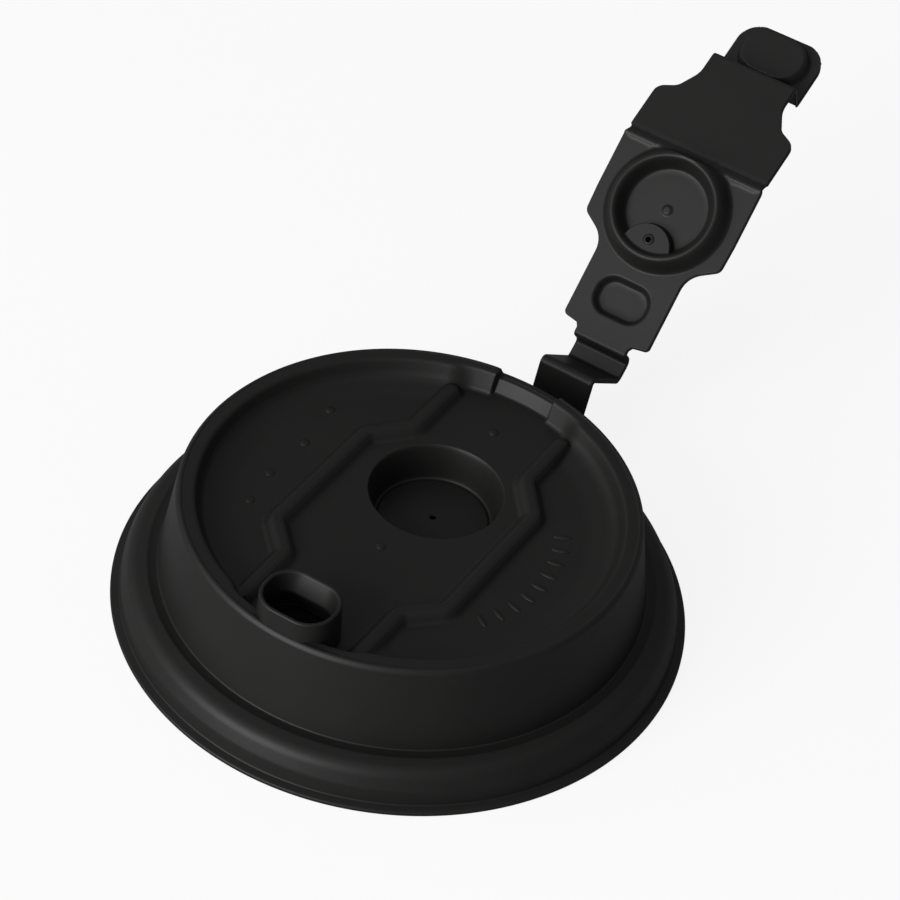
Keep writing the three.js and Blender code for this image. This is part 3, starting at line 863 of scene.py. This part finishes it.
# Studio: a pale floor that runs out to white, one large soft lamp from the front left and a soft sky.
# The camera stands where the photograph was taken from, high and to the right of the front.
floor_material = bpy.data.materials.new("pale_floor")
floor_material.use_nodes = True
floor_tree = floor_material.node_tree
floor_shader = floor_tree.nodes["Principled BSDF"]
floor_shader.inputs["Roughness"].default_value = 0.9
floor_wire = Wire(floor_tree)
seen_direct = floor_wire.node("ShaderNodeLightPath", output=0)
floor_colour = seen_direct.tint((0.3, 0.3, 0.3), (0.95, 0.95, 0.95))
floor_tree.links.new(floor_colour.socket, floor_shader.inputs["Base Color"])
glow = floor_wire.node("ShaderNodeEmission", None, {"Color": (1, 1, 1, 1), "Strength": 1.0})
place = floor_wire.node("ShaderNodeTexCoord", output=3)
axis = place - (0, axis_y / 1000, 0)
reach = axis.node("ShaderNodeVectorMath", {"operation": "LENGTH"}, {0: axis}, output=1)
open_floor = reach.node("ShaderNodeMapRange", None, {"Value": reach, "From Min": 0.042, "From Max": 0.045})
mixed = floor_tree.nodes.new("ShaderNodeMixShader")
floor_tree.links.new((seen_direct * open_floor * 0.86).socket, mixed.inputs[0])
floor_tree.links.new(floor_shader.outputs[0], mixed.inputs[1])
floor_tree.links.new(glow.socket, mixed.inputs[2])
floor_tree.links.new(mixed.outputs[0], floor_tree.nodes["Material Output"].inputs["Surface"])
floor_mesh = bpy.data.meshes.new("floor")
floor_mesh.from_pydata([(-4, -4, 0), (4, -4, 0), (4, 4, 0), (-4, 4, 0)], [], [(0, 1, 2, 3)])
floor_mesh.materials.append(floor_material)
floor = bpy.data.objects.new("floor", floor_mesh)
bpy.context.scene.collection.objects.link(floor)


def soft_lamp(name, place, target, size, power):
    lamp = bpy.data.lights.new(name, "AREA")
    lamp.shape = "SQUARE"
    lamp.size = size
    lamp.energy = power
    holder = bpy.data.objects.new(name, lamp)
    way = Vector(place) - Vector(target)
    holder.matrix_world = Matrix.Translation(place) @ way.to_track_quat("Z", "Y").to_matrix().to_4x4()
    bpy.context.scene.collection.objects.link(holder)


soft_lamp("key_lamp", (-0.38, -1.13, 0.45), (0, 0, 0.02), 0.9, 15.2)
world = bpy.data.worlds.new("studio")
bpy.context.scene.world = world
world.use_nodes = True
backing = world.node_tree.nodes["Background"]
backing.inputs["Color"].default_value = (1, 1, 1, 1)
sky = Wire(world.node_tree)
way = sky.node("ShaderNodeTexCoord", output=0)
towards = {"operation": "DOT_PRODUCT"}
rise = way.node("ShaderNodeVectorMath", towards, {0: way, 1: (-0.25, -0.25, 0.93)}, output=1)
side = way.node("ShaderNodeVectorMath", towards, {0: way, 1: (-0.46, -0.82, 0.34)}, output=1)
overhead = rise.node("ShaderNodeMapRange", None, {"Value": rise, "From Min": 0.6, "From Max": 1.0})
front_left = side.node("ShaderNodeMapRange", None, {"Value": side, "From Min": 0.2, "From Max": 1.0})
sky_seen = sky.node("ShaderNodeLightPath", output=0)
sky_light = 0.21 + overhead * 0.22 + front_left * 0.55
world.node_tree.links.new((sky_light * (1 - sky_seen) + sky_seen * 0.96).socket, backing.inputs["Strength"])

camera_data = bpy.data.cameras.new("photo_camera")
camera_data.lens = 130.117
camera_data.sensor_width = 36
camera_data.clip_start = 0.01
camera = bpy.data.objects.new("photo_camera", camera_data)
camera.matrix_world = Matrix((
    (0.84019227, -0.42436571, 0.33762508, 0.17414791),
    (0.53304739, 0.53183596, -0.65803570, -0.36517271),
    (0.09968663, 0.73284668, 0.67305150, 0.37182007),
    (0, 0, 0, 1),
))
bpy.context.scene.collection.objects.link(camera)
bpy.context.scene.camera = camera
bpy.context.scene.view_settings.view_transform = "Standard"
